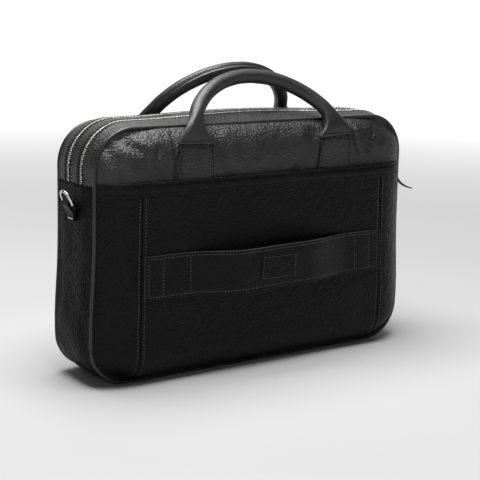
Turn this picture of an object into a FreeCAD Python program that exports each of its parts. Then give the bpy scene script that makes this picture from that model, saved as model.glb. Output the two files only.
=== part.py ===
"""Leather briefcase with two zipped compartments, a back slip pocket and a trolley strap.

Millimetres. X is the width, Z is up, and the trolley strap is on the -Y side.
The origin is on the surface that the bag stands on, under the middle of its base.
"""
import FreeCAD, Part
import math
import os

V = FreeCAD.Vector

# Body, measured on the outside of the leather along the zips
body_half_width = 207.0
body_height = 276.0
top_crown = 4.0
corner_radius = 50.0
base_radius = 42.0
zone_half_depth = 20.0        # the flat run of the gusset that holds both zips

# Rims, where the face panels meet the gusset
rim_y = 39.0
rim_inset = 2.0
rim_drop = 5.0
rim_lift = 1.5

# Face panels stand proud of the rims
back_face_y = 60.5
front_face_y = 50.5
face_inset_side = 47.0
face_inset_top = 24.0
face_inset_base = 24.0
face_radius = 38.0

# Leather, linings and boards
leather = 1.8
wall_leather = 2.0
lining = 0.8
seam_gap = 0.1
rim_slope = 0.6               # how far a deeper skin's rim moves in for each mm of depth
side_draw_share = 0.22        # how much a deeper skin's flat draws in at its sides
end_draw_share = 0.39         # and at its top and bottom
body_gap = 0.3                # between pieces that move apart
sewn_rim_depth = 3.2          # inner walls are sewn this far inside the rim
pocket_depth = 6.8            # outside of the slip pocket to the wall behind it
front_pocket_depth = 6.4
front_yoke_depth = 2.5
board_thickness = 2.5
board_lift = 4.1
board_half_depth = 34.0
divider_thickness = 5.0
sleeve_thickness = 5.0
sleeve_y = -19.5
sleeve_side_gap = 25.0
sleeve_top_drop = 44.0
sleeve_radius = 20.0

# Mouth line: the pocket's top edge, above which the flaps fold outward
mouth_drop = 60.0
binding_height = 14.0
binding_ply = 0.6
side_split_rise = 5.0         # the gusset strips part this far above the corner's centre

# Piping
piping_radius = 2.0
piping_inset = 1.0

# Top zips
zip_y = 14.0
tooth_gap = 1.2
post_half_width = 0.3         # a slider's post, in the gap between the tooth rows
tooth_width = 2.0
tooth_thickness = 2.2
tooth_depth = 0.9
tape_thickness = 0.7
tape_tuck = 6.0
tape_under_edge = 3.0         # tape hidden under the leather along a straight zip
tape_past_window = 1.0        # tape and teeth end this far either side of the window's ends
slot_half_width = 6.0
zip_end_left_drop = 2.0
zip_end_right_drop = 10.0

# Sliders and pullers
slider_length = 9.0
slider_drop = 2.5             # slider's middle below the corner's centre
slider_half_width = 4.4
slider_clearance = 0.5
inner_flange_clearance = 0.9
post_length = 2.0
plate_thickness = 1.3
flange = 1.0
inner_plate_depth = 4.0
bail_length = 5.0
bail_height = 3.2
bail_half_width = 0.8
bail_hole_radius = 1.1
bail_hole_height = 1.7
link_wire = 0.8
link_half_width = 1.9
link_length = 11.0
puller_width = 5.4
puller_thickness = 3.0
puller_neck = 2.0
neck_length = 2.4
puller_length = 21.0
tail_thickness = 1.6
tail_bend_radius = 26.0
tail_angle = 62.0
pull_lean = 25.0              # a top puller hangs off the bulging side at this angle
tail_turn = 36.0              # a top puller's tail curls outward and away from the middle

# Handles
tab_x = 93.5
tab_width = 46.0
tab_thickness = 2.0
tab_top_drop = 23.0
hinge_stand = 1.2             # the flare's middle stands this far off the tab
hinge_drop = 22.0
handle_radius = 8.0
core_radius = 6.0
flare_thickness = 3.0
flare_rise = 29.5             # the flares end this far above the hinge
flare_lean_in = 14.0          # and this far towards the middle
flare_draw = 8.0              # each flare's end stands this far nearer the middle in X
edge_round_share = 0.499      # corner radius of a flare, as a share of its thinner side
middle_rise = 17.5            # a section part way up the flare
middle_lean_in = 3.6
middle_draw = 3.0
middle_width = 24.6
middle_thickness = 7.9
middle_turn = 9.0
middle_lean = 22.0
back_arch_height = 44.8       # from the flares' ends to the top, along the arch
front_arch_height = 53.9
arch_lean = 39.4

# Trolley strap
strap_height = 46.4
strap_low_z = 93.4
strap_thickness = 3.0
strap_bow = 17.0
strap_end_inset = 2.0
strap_sewn = 46.0
strap_bend_run = 70.0
patch_width = 48.0
patch_height = 28.0
patch_thickness = 1.0

# D-rings for a shoulder strap
ring_drop = 25.0              # bar below the mouth line
ring_stand = 6.5
ring_half_width = 9.4
ring_leg = 5.0
ring_wire = 1.5
ring_lean = 25.0
loop_width = 14.6
loop_radius = 5.0
loop_clearance = 0.3
loop_tail = 17.0
loop_tail_thickness = 3.0
clip_width = 11.0
clip_height = 3.0
clip_thickness = 1.5
clip_lift = 1.0

# Zipped pocket in the front panel
window_half_width = 146.0
window_height = 12.0
window_drop = 3.0
pocket_slider_inset = 12.0

# Places that follow from the sizes above
corner_z = body_height - corner_radius
mouth_z = body_height - mouth_drop
case_top_z = mouth_z + 0.7
flap_low_z = case_top_z + body_gap
side_split_z = corner_z + side_split_rise
face_half_width = body_half_width - face_inset_side
zip_end_left_z = mouth_z - zip_end_left_drop
zip_end_right_z = mouth_z - zip_end_right_drop
seam_y = rim_y - piping_radius - seam_gap
panel_seam_y = rim_y + piping_radius + seam_gap
tape_depth = leather + seam_gap
row_inner = tooth_gap / 2
row_outer = row_inner + tooth_width
board_top_z = board_lift + board_thickness
ring_z = mouth_z - ring_drop
reach = 1000.0                # longer than the bag, for clipping boxes


# ---------------------------------------------------------------- helpers
def box(x0, x1, y0, y1, z0, z1):
    """Box between two corners."""
    return Part.makeBox(x1 - x0, y1 - y0, z1 - z0, V(x0, y0, z0))


def clip(shape, x=(-reach, reach), y=(-reach, reach), z=(-reach, reach)):
    """What of a shape lies within the given ranges."""
    return shape.common(box(x[0], x[1], y[0], y[1], z[0], z[1]))


def line(a, b):
    """Straight edge."""
    return Part.LineSegment(a, b).toShape()


def arc(a, middle, b):
    """Round edge through three points."""
    return Part.Arc(a, middle, b).toShape()


def save(name, shape):
    """Write one sub-part."""
    shape.exportStep("parts/" + name + ".step")


def sweep(path, section):
    """Solid bar of one section along a path."""
    return path.makePipe(Part.Face(section))


def both_ways(y_range, side):
    """A range of distances from the middle plane, on the back (-1) or the front (+1)."""
    return (y_range[0], y_range[1]) if side > 0 else (-y_range[1], -y_range[0])


def outline(y, half, bottom, top, low_radius, high_radius, crown):
    """Closed round-cornered outline in the plane at y, its top edge arched by crown."""
    low = half - low_radius
    high = half - high_radius
    knee = math.sqrt(0.5)
    p = [V(-low, y, bottom), V(low, y, bottom), V(half, y, bottom + low_radius), V(half, y, top - high_radius),
         V(high, y, top), V(-high, y, top), V(-half, y, top - high_radius), V(-half, y, bottom + low_radius)]
    low_mid = V(low + low_radius * knee, y, bottom + low_radius * (1 - knee))
    high_mid = V(high + high_radius * knee, y, top - high_radius * (1 - knee))
    edges = [line(p[0], p[1]), arc(p[1], low_mid, p[2]), line(p[2], p[3]), arc(p[3], high_mid, p[4])]
    edges.append(arc(p[4], V(0, y, top + crown), p[5]) if crown > 0 else line(p[4], p[5]))
    edges.append(arc(p[5], V(-high_mid.x, y, high_mid.z), p[6]))
    edges.append(line(p[6], p[7]))
    edges.append(arc(p[7], V(-low_mid.x, y, low_mid.z), p[0]))
    return Part.Wire(edges)


def zip_outline(y, depth):
    """Outline of the zip zone, drawn deeper than the outside of the leather."""
    return outline(y, body_half_width - depth, depth, body_height - depth,
                   base_radius - depth, corner_radius - depth, top_crown)


def rim_outline(y, depth):
    """Outline of a rim, drawn deeper than the outside of the leather."""
    return outline(y, body_half_width - rim_inset - depth, rim_lift + depth, body_height - rim_drop - depth,
                   base_radius - rim_inset - depth, corner_radius - rim_drop - depth, 0.0)


def face_outline(y, depth):
    """Outline of the flat of a face panel; sloping walls draw it in less than their depth."""
    side_draw = side_draw_share * depth
    end_draw = end_draw_share * depth
    return outline(y, face_half_width - side_draw, face_inset_base + end_draw,
                   body_height - face_inset_top - end_draw, face_radius - side_draw,
                   face_radius - side_draw, 0.0)


# ---------------------------------------------------------------- skins of the body
def band_solid(depth):
    """The gusset's full depth from rim to rim, down to a given depth under its outside."""
    wires = [rim_outline(-rim_y, depth), zip_outline(-zone_half_depth, depth),
             zip_outline(zone_half_depth, depth), rim_outline(rim_y, depth)]
    return Part.makeLoft(wires, True, True)


def band(depth, thickness):
    """A skin that runs all round the gusset."""
    return band_solid(depth).cut(band_solid(depth + thickness))


def bulge_solid(side, face_depth, rim_depth):
    """The bulge of one face from its flat to its rim, down to the given depths."""
    face_y = back_face_y if side < 0 else front_face_y
    rim_shift = rim_slope * rim_depth
    wires = [face_outline(side * (face_y - face_depth), face_depth),
             rim_outline(side * (rim_y - rim_shift), rim_depth)]
    return Part.makeLoft(wires, True, True)


def face_wall(side, face_depth, rim_depth, thickness):
    """A skin over one face of the bag."""
    outer = bulge_solid(side, face_depth, rim_depth)
    return outer.cut(bulge_solid(side, face_depth + thickness, rim_depth + thickness))


def make_gussets(leather_band):
    """Lower gusset, centre gusset and the two strips that open with the flaps."""
    slot_in = zip_y - slot_half_width
    slot_out = zip_y + slot_half_width
    lower = clip(leather_band, y=(-seam_y, seam_y), z=(-reach, side_split_z))
    lower = lower.cut(box(-reach, reach, -slot_in, slot_in, zip_end_right_z, reach))
    arm_y = seam_y - body_gap
    for side in (-1, 1):
        y = both_ways((arm_y, reach), side)
        lower = lower.cut(box(-reach, reach, y[0], y[1], case_top_z, reach))
    for side in (-1, 1):
        y = both_ways((slot_in, slot_out), side)
        lower = lower.cut(box(0, reach, y[0], y[1], zip_end_right_z, reach))
        lower = lower.cut(box(-reach, 0, y[0], y[1], zip_end_left_z, reach))
    save("lower_gusset", lower)
    save("centre_gusset", clip(leather_band, y=(-slot_in, slot_in), z=(zip_end_right_z, reach)))
    for name, side in (("back", -1), ("front", 1)):
        y = both_ways((slot_out, seam_y), side)
        save(name + "_gusset_strip", clip(leather_band, y=y, z=(side_split_z + body_gap, reach)))


def zip_lengths(shape):
    """Cut a zip run to its two ends, which differ from left to right."""
    shape = shape.cut(box(-reach, 0, -reach, reach, -reach, zip_end_left_z - tape_tuck))
    return shape.cut(box(0, reach, -reach, reach, -reach, zip_end_right_z - tape_tuck))


def tooth_lengths(shape):
    """Cut a tooth row so that it stops inside the slots in the leather."""
    shape = shape.cut(box(-reach, 0, -reach, reach, -reach, zip_end_left_z + seam_gap))
    return shape.cut(box(0, reach, -reach, reach, -reach, zip_end_right_z + seam_gap))


def make_top_zips(tape_band, tooth_band):
    """Tapes and tooth rows; the outer halves part at the flaps, and their lower ends stay put."""
    upper = (side_split_z + body_gap, reach)
    lower = (-reach, side_split_z)
    tape_outer = (zip_y + row_outer, zip_y + slot_half_width + tape_tuck)
    tape_inner = (zip_y - slot_half_width - tape_under_edge, zip_y - row_outer)
    row_out = (zip_y + row_inner, zip_y + row_outer)
    row_in = (zip_y - row_outer, zip_y - row_inner)
    tape_ends = []
    tooth_ends = []
    for name, side in (("back", -1), ("front", 1)):
        outer_tape = zip_lengths(clip(tape_band, y=both_ways(tape_outer, side)))
        outer_row = tooth_lengths(clip(tooth_band, y=both_ways(row_out, side)))
        save(name + "_zip_outer_tape", clip(outer_tape, z=upper))
        tape_ends += clip(outer_tape, z=lower).Solids
        save(name + "_zip_outer_teeth", clip(outer_row, z=upper))
        tooth_ends += clip(outer_row, z=lower).Solids
        save(name + "_zip_inner_tape", zip_lengths(clip(tape_band, y=both_ways(tape_inner, side))))
        save(name + "_zip_inner_teeth", tooth_lengths(clip(tooth_band, y=both_ways(row_in, side))))
    save("zip_outer_tape_ends", Part.makeCompound(tape_ends))
    save("zip_outer_teeth_ends", Part.makeCompound(tooth_ends))


def piping_bead(side, upper):
    """Round bead along the rim, above the flap line or below it."""
    y = side * rim_y
    half = body_half_width - rim_inset - piping_inset
    bottom = rim_lift + piping_inset
    top = body_height - rim_drop - piping_inset
    radius = (corner_radius - rim_drop if upper else base_radius - rim_inset) - piping_inset
    start_z = flap_low_z if upper else case_top_z
    end_z = top if upper else bottom
    turn_z = end_z - radius if upper else end_z + radius
    flat = half - radius
    knee_x = flat + radius * math.sqrt(0.5)
    knee_z = turn_z + (end_z - turn_z) * math.sqrt(0.5)
    path = Part.Wire([line(V(-half, y, start_z), V(-half, y, turn_z)),
                      arc(V(-half, y, turn_z), V(-knee_x, y, knee_z), V(-flat, y, end_z)),
                      line(V(-flat, y, end_z), V(flat, y, end_z)),
                      arc(V(flat, y, end_z), V(knee_x, y, knee_z), V(half, y, turn_z)),
                      line(V(half, y, turn_z), V(half, y, start_z))])
    section = Part.Wire([Part.makeCircle(piping_radius, V(-half, y, start_z), V(0, 0, 1))])
    return sweep(path, section)


def make_piping():
    """Four beads: a lower and an upper one on each rim."""
    for name, side in (("back", -1), ("front", 1)):
        save(name + "_piping_upper", piping_bead(side, True))
        save(name + "_piping_lower", piping_bead(side, False))


# ---------------------------------------------------------------- face panels
def panel_skin(side, face_depth, thickness, z_range):
    """Outer leather of a face, stopping short of the piping."""
    skin = face_wall(side, face_depth, 0.0, thickness)
    return clip(skin, y=both_ways((panel_seam_y, reach), side), z=z_range)


def make_back_pocket():
    """Slip pocket: centre panel, side panels and the binding over its top edge."""
    edge_z = mouth_z - binding_ply
    skin = panel_skin(-1, 0.0, leather, (-reach, edge_z))
    save("back_pocket_centre", clip(skin, x=(-face_half_width, face_half_width)))
    save("back_pocket_side_left", clip(skin, x=(-reach, -face_half_width)))
    save("back_pocket_side_right", clip(skin, x=(face_half_width, reach)))
    outer = bulge_solid(-1, -binding_ply, -binding_ply)
    wrap = outer.cut(bulge_solid(-1, leather + binding_ply, leather + binding_ply))
    wrap = clip(wrap, y=(-reach, -panel_seam_y), z=(mouth_z - binding_height, mouth_z))
    save("back_pocket_binding", wrap.cut(skin))


def front_zip_z():
    """Height of the middle of the front pocket's zip."""
    return case_top_z - window_drop - window_height / 2


def make_front_pocket():
    """Front panel with a window for the pocket's zip, its side panels, tape and tooth rows."""
    zip_z = front_zip_z()
    skin = panel_skin(1, 0.0, leather, (-reach, case_top_z))
    half = window_height / 2
    window = box(-window_half_width, window_half_width, 0, reach, zip_z - half, zip_z + half)
    save("front_pocket_panel", clip(skin, x=(-face_half_width, face_half_width)).cut(window))
    sides = clip(skin, x=(-reach, -face_half_width)).Solids + clip(skin, x=(face_half_width, reach)).Solids
    save("front_pocket_sides", Part.makeCompound(sides))
    tape_face = front_face_y - tape_depth
    tapes = []
    rows = []
    for way in (-1, 1):
        low, high = both_ways((row_outer, half + tape_under_edge), way)
        tapes.append(box(-window_half_width - tape_past_window, window_half_width + tape_past_window,
                         tape_face - tape_thickness, tape_face, zip_z + low, zip_z + high))
        low, high = both_ways((row_inner, row_outer), way)
        tooth_face = front_face_y - tooth_depth
        rows.append(box(-window_half_width + tape_past_window, window_half_width - tape_past_window,
                        tooth_face - tooth_thickness, tooth_face, zip_z + low, zip_z + high))
    save("front_pocket_tapes", Part.makeCompound(tapes))
    save("front_pocket_teeth", Part.makeCompound(rows))


def make_inner_walls():
    """Walls behind the pockets, and the lining of the lower compartments."""
    below = (-reach, case_top_z)
    band_lining = clip(band(tape_depth, lining), y=(-seam_y, seam_y), z=(-reach, zip_end_right_z - tape_tuck))
    for name, side, depth in (("back", -1, pocket_depth), ("front", 1, front_pocket_depth)):
        save(name + "_inner_wall", clip(face_wall(side, depth, sewn_rim_depth, wall_leather), z=below))
        lining_depth = depth + wall_leather + seam_gap
        lining_rim = sewn_rim_depth + wall_leather + seam_gap
        wall = clip(face_wall(side, lining_depth, lining_rim, lining), z=below)
        half = clip(band_lining, y=both_ways((divider_thickness / 2 + seam_gap, reach), side))
        save(name + "_lining", Part.makeCompound([wall, half]))


def make_flap_panels():
    """Yokes above the mouth line, their linings and the handle tabs sewn on them."""
    above = (flap_low_z, reach)
    for name, side, depth in (("back", -1, pocket_depth), ("front", 1, front_yoke_depth)):
        yoke = panel_skin(side, depth, wall_leather, above)
        save(name + "_yoke", yoke)
        lining_depth = depth + wall_leather + seam_gap
        save(name + "_yoke_lining", clip(face_wall(side, lining_depth, sewn_rim_depth, lining), z=above))
        outside = bulge_solid(side, depth - tab_thickness, -tab_thickness).cut(bulge_solid(side, depth, 0.0))
        for hand, sign in (("left", -1), ("right", 1)):
            x = sorted((sign * (tab_x - tab_width / 2), sign * (tab_x + tab_width / 2)))
            tab = clip(outside, x=x, y=both_ways((panel_seam_y, reach), side),
                       z=(flap_low_z, body_height - tab_top_drop))
            save(name + "_handle_tab_" + hand, tab)


# ---------------------------------------------------------------- inside
def make_inside():
    """Divider, base board and the padded sleeve."""
    depth = tape_depth + lining + seam_gap
    half = divider_thickness / 2
    sheet = Part.Face(outline(-half, body_half_width - depth, board_top_z + seam_gap, body_height - depth,
                              base_radius - depth, corner_radius - depth, top_crown))
    save("divider", sheet.extrude(V(0, divider_thickness, 0)))
    board_half = body_half_width - base_radius
    save("base_board", box(-board_half, board_half, -board_half_depth, board_half_depth, board_lift, board_top_z))
    pad = Part.Face(outline(sleeve_y - sleeve_thickness / 2, body_half_width - sleeve_side_gap,
                            board_top_z + seam_gap, body_height - sleeve_top_drop, sleeve_radius,
                            sleeve_radius, 0.0))
    save("laptop_sleeve_pad", pad.extrude(V(0, sleeve_thickness, 0)))


# ---------------------------------------------------------------- handles
def flare_section(width, thickness, x, y, z, turn, lean):
    """Closed flat-oval section of a flare, turned and leant from level, in degrees."""
    radius = edge_round_share * min(width, thickness)
    wire = outline(0, width / 2, -thickness / 2, thickness / 2, radius, radius, 0.0)
    wire.rotate(V(0, 0, 0), V(1, 0, 0), 90)
    wire.rotate(V(0, 0, 0), V(0, 1, 0), turn)
    wire.rotate(V(0, 0, 0), V(1, 0, 0), lean)
    wire.translate(V(x, y, z))
    return wire


def arch_bar(half, height, radius):
    """Round bar bent to one arc between two ends, upright in the XZ plane."""
    path = Part.Wire([arc(V(-half, 0, 0), V(0, 0, height), V(half, 0, 0))])
    start = math.radians(arch_turn(half, height))
    section = Part.Wire([Part.makeCircle(radius, V(-half, 0, 0), V(math.sin(start), 0, math.cos(start)))])
    return sweep(path, section)


def arch_turn(half, height):
    """How far an arch's ends lean towards each other, in degrees."""
    arch_radius = (half ** 2 + height ** 2) / (2 * height)
    return math.degrees(math.asin((arch_radius - height) / arch_radius))


def make_handles():
    """Rolled handles: upright flares on the tabs, then a wrapped cord arching inward over the top."""
    half = tab_x - flare_draw
    full = 2 * handle_radius
    for name, side, height, depth in (("back", -1, back_arch_height, pocket_depth),
                                      ("front", 1, front_arch_height, front_yoke_depth)):
        core = arch_bar(half, height, core_radius)
        grip = arch_bar(half, height, handle_radius).cut(core)
        face_y = back_face_y if side < 0 else front_face_y
        hinge_y = side * (face_y - depth + tab_thickness + hinge_stand)
        hinge_z = body_height - hinge_drop
        end_y = hinge_y - side * flare_lean_in
        for shape in (core, grip):
            shape.rotate(V(0, 0, 0), V(1, 0, 0), side * arch_lean)
            shape.translate(V(0, end_y, hinge_z + flare_rise))
        sections = [flare_section(tab_width, flare_thickness, -tab_x, hinge_y, hinge_z, 0, 0),
                    flare_section(middle_width, middle_thickness, middle_draw - tab_x,
                                  hinge_y - side * middle_lean_in, hinge_z + middle_rise,
                                  middle_turn, side * middle_lean),
                    flare_section(full, full, -half, end_y, hinge_z + flare_rise,
                                  arch_turn(half, height), side * arch_lean)]
        flare = Part.makeLoft(sections, True, True)
        save(name + "_handle_wrap", Part.makeCompound([grip, flare, flare.mirror(V(0, 0, 0), V(1, 0, 0))]))
        save(name + "_handle_core", core)


# ---------------------------------------------------------------- trolley strap
def make_trolley_strap():
    """Double-ply strap, sewn at both ends and bowed out in between, with a plain patch."""
    y0 = -back_face_y - strap_thickness / 2
    y1 = y0 - strap_bow
    end_x = face_half_width - strap_end_inset
    bend_x = end_x - strap_sewn
    flat_x = bend_x - strap_bend_run
    turn = 2 * math.atan(strap_bow / strap_bend_run)
    radius = strap_bend_run / (2 * math.sin(turn))
    low_z = strap_low_z
    drop = radius * (1 - math.cos(turn / 2))
    run = radius * math.sin(turn / 2)

    def bend(sign):
        a, m, b = (V(sign * bend_x, y0, low_z), V(sign * (bend_x + flat_x) / 2, (y0 + y1) / 2, low_z),
                   V(sign * flat_x, y1, low_z))
        first = arc(a, V(sign * (bend_x - run), y0 - drop, low_z), m)
        second = arc(m, V(sign * (flat_x + run), y1 + drop, low_z), b)
        return first, second

    left = bend(-1)
    right = bend(1)
    path = Part.Wire([line(V(-end_x, y0, low_z), V(-bend_x, y0, low_z)), left[0], left[1],
                      line(V(-flat_x, y1, low_z), V(flat_x, y1, low_z)), right[1], right[0],
                      line(V(bend_x, y0, low_z), V(end_x, y0, low_z))])
    half = strap_thickness / 2
    corners = [V(-end_x, y0 - half, low_z), V(-end_x, y0 + half, low_z),
               V(-end_x, y0 + half, low_z + strap_height), V(-end_x, y0 - half, low_z + strap_height)]
    section = Part.makePolygon(corners + corners[:1])
    save("trolley_strap", sweep(path, section))
    middle_z = low_z + strap_height / 2
    save("strap_patch", box(-patch_width / 2, patch_width / 2, y1 - half - patch_thickness, y1 - half,
                            middle_z - patch_height / 2, middle_z + patch_height / 2))


# ---------------------------------------------------------------- D-rings
def cylinder_y(radius, x, y0, y1, z):
    """Round bar along Y."""
    return Part.makeCylinder(radius, y1 - y0, V(x, y0, z), V(0, 1, 0))


def make_d_rings():
    """A leather loop, a metal end clip and a D-ring on each side, the ring leaning outward."""
    loops = []
    clips = []
    for name, sign in (("left", -1), ("right", 1)):
        bar_x = sign * (body_half_width + ring_stand)
        surface_x = sign * body_half_width
        tail_x = sorted((surface_x, surface_x + sign * loop_tail_thickness))
        knob = cylinder_y(loop_radius, bar_x, -loop_width / 2, loop_width / 2, ring_z)
        tail = box(tail_x[0], tail_x[1], -loop_width / 2, loop_width / 2, ring_z - loop_tail, ring_z)
        loop = knob.fuse(tail)
        loop = loop.cut(cylinder_y(ring_wire + loop_clearance, bar_x, -loop_width, loop_width, ring_z))
        loops += loop.Solids
        clip_x = sorted((tail_x[0] if sign < 0 else tail_x[1],
                         (tail_x[0] if sign < 0 else tail_x[1]) + sign * clip_thickness))
        clip_z = ring_z - loop_tail + clip_lift
        clips.append(box(clip_x[0], clip_x[1], -clip_width / 2, clip_width / 2, clip_z, clip_z + clip_height))
        half = ring_half_width
        ring = cylinder_y(ring_wire, 0, -half, half, 0)
        bow = Part.makeTorus(half, ring_wire, V(0, 0, ring_leg), V(1, 0, 0))
        pieces = [clip(bow, z=(ring_leg, reach))]
        for end in (-half, half):
            pieces.append(Part.makeSphere(ring_wire, V(0, end, 0)))
            pieces.append(Part.makeCylinder(ring_wire, ring_leg, V(0, end, 0), V(0, 0, 1)))
        ring = ring.fuse(pieces)
        ring.rotate(V(0, 0, 0), V(0, 1, 0), sign * ring_lean)
        ring.translate(V(bar_x, 0, ring_z))
        save("d_ring_" + name, ring)
    save("d_ring_loops", Part.makeCompound(loops))
    save("loop_end_clips", Part.makeCompound(clips))


# ---------------------------------------------------------------- sliders and pullers
def slider(bail_turn):
    """Zip slider about the leather's outside: X points out, Y across the zip, Z along it.
    Its bail is turned that many degrees about X, so that the puller hangs across or along the zip."""
    half = slider_length / 2
    outer_face = -tooth_depth + slider_clearance
    w = slider_half_width
    outer = box(outer_face, outer_face + plate_thickness, -w, w, -half, half)
    inner = box(-inner_plate_depth - plate_thickness, -inner_plate_depth, -w, w, -half, half)
    pieces = [inner]
    for sign in (-1, 1):
        y = sorted((sign * (w - flange), sign * w))
        pieces.append(box(-tape_depth + slider_clearance, outer_face, y[0], y[1], -half, half))
        pieces.append(box(-inner_plate_depth, -tape_depth - tape_thickness - inner_flange_clearance,
                          y[0], y[1], -half, half))
    post = post_half_width
    pieces.append(box(-inner_plate_depth, outer_face, -post, post, half - post_length, half))
    top = outer_face + plate_thickness
    bail = box(top, top + bail_height, -bail_half_width, bail_half_width, -bail_length / 2, bail_length / 2)
    bail = bail.cut(cylinder_y(bail_hole_radius, top + bail_hole_height, -w, w, 0))
    bail.rotate(V(0, 0, 0), V(1, 0, 0), bail_turn)
    pieces.append(bail)
    return outer.fuse(pieces)


def pull_x():
    """How far the puller's axis stands off the leather."""
    return slider_clearance - tooth_depth + plate_thickness + bail_hole_height


def pull_link():
    """Wire link through the slider's bail, hanging down from its axis at the origin."""
    w = link_half_width
    pieces = []
    for z in (0, -link_length):
        pieces.append(cylinder_y(link_wire, 0, -w, w, z))
        pieces += [Part.makeSphere(link_wire, V(0, y, z)) for y in (-w, w)]
    for y in (-w, w):
        pieces.append(Part.makeCylinder(link_wire, link_length, V(0, y, 0), V(0, 0, -1)))
    return pieces[0].fuse(pieces[1:])


def puller(turn):
    """Leather puller: a neck round the link, a doubled grip and a single-ply tail that curls out, turned about Z."""
    half = puller_thickness / 2
    half_width = puller_width / 2
    neck_low = -link_length - neck_length
    neck = box(-half, half, -puller_neck / 2, puller_neck / 2, neck_low, -link_length + half)
    neck = neck.cut(cylinder_y(link_wire, 0, -reach, reach, -link_length))
    grip_low = neck_low - puller_length
    grip = box(-half, half, -half_width, half_width, grip_low, neck_low)
    tail_x = half - tail_thickness
    corners = [V(tail_x, -half_width, grip_low), V(half, -half_width, grip_low),
               V(half, half_width, grip_low), V(tail_x, half_width, grip_low)]
    section = Part.Face(Part.makePolygon(corners + corners[:1]))
    angle = math.radians(turn)
    centre = V(tail_bend_radius * math.cos(angle), tail_bend_radius * math.sin(angle), grip_low)
    tail = section.revolve(centre, V(math.sin(angle), -math.cos(angle), 0), tail_angle)
    return grip.fuse([neck, tail])


def make_top_sliders():
    """One slider and puller on each top zip, parked at the right-hand corner."""
    z = corner_z - slider_drop
    for name, side in (("back", -1), ("front", 1)):
        at = V(body_half_width, side * zip_y, z)
        body = slider(0)
        body.translate(at)
        save(name + "_zip_slider", body)
        for part_name, shape in (("_zip_link", pull_link()), ("_zip_puller", puller(side * tail_turn))):
            shape.rotate(V(0, 0, 0), V(0, -1, 0), pull_lean)
            shape.translate(at + V(pull_x(), 0, 0))
            save(name + part_name, shape)


def make_pocket_slider():
    """Slider and puller of the front pocket's zip, parked at its right-hand end."""
    x = window_half_width - pocket_slider_inset
    body = slider(90)
    body.rotate(V(0, 0, 0), V(1, 1, 1), 120)
    body.translate(V(x, front_face_y, front_zip_z()))
    save("pocket_zip_slider", body)
    for part_name, shape in (("pocket_zip_link", pull_link()), ("pocket_zip_puller", puller(0))):
        shape.rotate(V(0, 0, 0), V(0, 0, 1), 90)
        shape.translate(V(x, front_face_y + pull_x(), front_zip_z()))
        save(part_name, shape)


os.makedirs("parts", exist_ok=True)
make_gussets(band(0.0, leather))
make_top_zips(band(tape_depth, tape_thickness), band(tooth_depth, tooth_thickness))
make_piping()
make_back_pocket()
make_front_pocket()
make_inner_walls()
make_flap_panels()
make_inside()
make_handles()
make_trolley_strap()
make_d_rings()
make_top_sliders()
make_pocket_slider()
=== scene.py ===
"""Looks of the leather briefcase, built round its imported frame. Sizes are in mm until a mesh is placed."""

import math

import bmesh
import bpy
from mathutils import Matrix, Vector, noise


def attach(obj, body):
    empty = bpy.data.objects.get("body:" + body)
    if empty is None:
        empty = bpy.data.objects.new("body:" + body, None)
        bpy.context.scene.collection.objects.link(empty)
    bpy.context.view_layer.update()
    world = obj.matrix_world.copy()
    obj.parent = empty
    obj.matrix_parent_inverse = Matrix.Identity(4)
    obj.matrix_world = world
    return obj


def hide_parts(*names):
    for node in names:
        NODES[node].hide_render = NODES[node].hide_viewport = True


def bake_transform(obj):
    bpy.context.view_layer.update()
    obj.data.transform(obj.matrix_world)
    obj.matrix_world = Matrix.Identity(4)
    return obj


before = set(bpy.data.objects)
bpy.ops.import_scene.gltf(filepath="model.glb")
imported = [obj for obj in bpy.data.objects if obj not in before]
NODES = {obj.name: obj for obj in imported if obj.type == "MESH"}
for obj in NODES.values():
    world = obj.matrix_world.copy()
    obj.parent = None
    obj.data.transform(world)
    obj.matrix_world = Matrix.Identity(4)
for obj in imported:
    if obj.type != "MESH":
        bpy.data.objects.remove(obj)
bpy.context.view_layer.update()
MM = 0.001

# Gusset ring, as the frame has it
ZONE_Y = 20.0
RIM_Y = 39.0
SEAM_Z = 212.0                # where the zipped strips are sewn to the lower gusset
FOLD_LOW, FOLD_HIGH = 205.0, 250.0
CORNER = math.pi / 2
SIDE_RUN, HIGH_ARC, TOP_RUN, LOW_ARC, BASE_RUN = 184.0, 50 * CORNER, 314.0, 42 * CORNER, 330.0
RUNS = (SIDE_RUN, HIGH_ARC, TOP_RUN, HIGH_ARC, SIDE_RUN, LOW_ARC, BASE_RUN, LOW_ARC)
ROUND = sum(RUNS)
RIGHT_SIDE = SIDE_RUN + 2 * HIGH_ARC + TOP_RUN
ZIP_START = SEAM_Z - 42
ZIP_END = RIGHT_SIDE + 226 - SEAM_Z
RIM_X = 205.0                 # where along the width the bulge is full
BULGE, BULGE_Z, BULGE_REACH = 5.5, 56.0, 58.0

# Pieces sewn to the bag
POCKET_SEAM_X = 160.0
TAB_X = 93.5
TAB_ROW = 20.4                # a tab's stitch rows stand this far either side of its middle
FRONT_ZIP_Z = 207.7
TOOTH = (1.25, 3.6, 2.2)      # along the zip, across it and standing out
TOOTH_PITCH = 4.5             # in one row; the other row's teeth stand between
STRAP_LOW, STRAP_HIGH = 93.4, 139.8


def mix(a, b, t):
    return a + (b - a) * t


def ease(t):
    t = min(max(t, 0.0), 1.0)
    return t * t * (3 - 2 * t)


def hump(t):
    return math.exp(-t * t)


def steps(a, b, size):
    """Even places from a to b, about size apart."""
    n = max(1, round(abs(b - a) / size))
    return [mix(a, b, i / n) for i in range(n + 1)]


def crowded(a, b, size, fine, reach, ends=(True, True)):
    """Places from a to b that stand closer together near the chosen ends."""
    places = [a]
    while places[-1] < b - 0.3 * fine:
        near = min((places[-1] - a if ends[0] else reach), (b - places[-1] if ends[1] else reach))
        places.append(min(b, places[-1] + mix(fine, size, ease(near / reach))))
    places[-1] = b
    return places


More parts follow.
